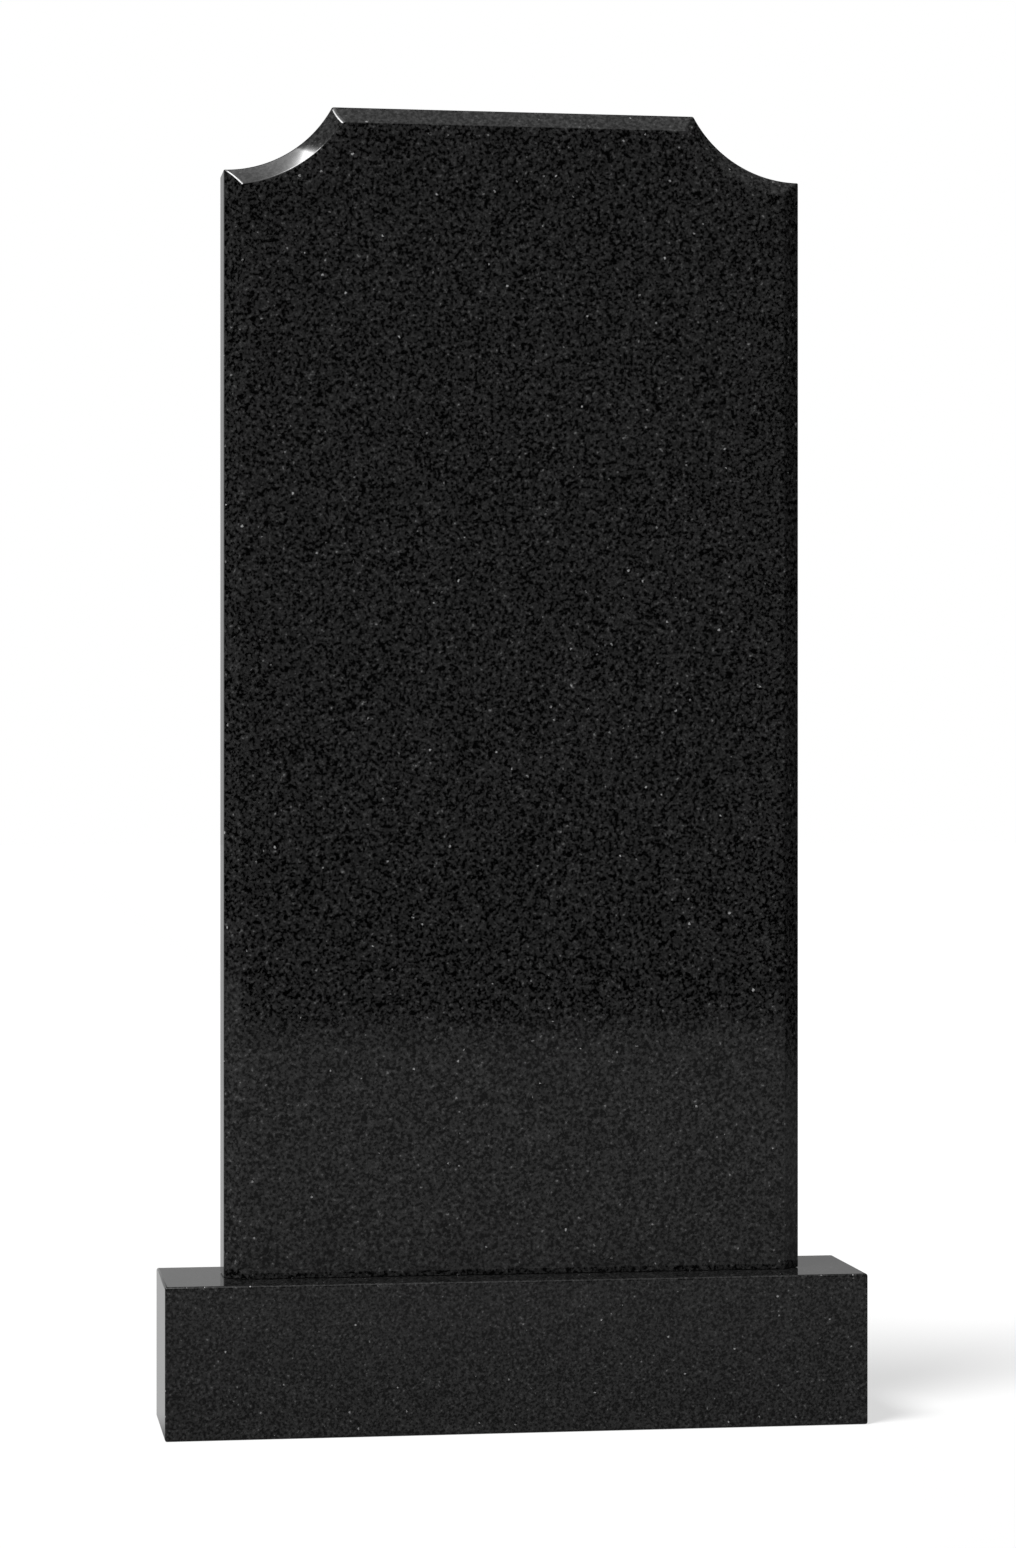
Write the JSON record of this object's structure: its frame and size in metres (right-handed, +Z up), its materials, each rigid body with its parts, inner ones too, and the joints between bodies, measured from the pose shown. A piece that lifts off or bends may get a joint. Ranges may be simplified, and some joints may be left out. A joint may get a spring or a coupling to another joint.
{
  "type": "headstone",
  "caption": "Upright polished black stone slab with scooped shoulders and a chamfered front, standing on a low block plinth.",
  "frame": {"origin": "middle of the plinth's underside, on the ground", "axes": "+Z up, the front of the stone faces -Y, +X to the right of someone in front of it"},
  "size_m": [0.6, 0.13, 1.1243],
  "materials": {
    "plinth_stone": "polished fine-grained black gabbro, sawn underside",
    "stele_stone": "polished fine-grained black gabbro"
  },
  "bodies": {
    "root": {"plinth": "plinth_stone", "stele": "stele_stone"}
  },
  "joints": []
}
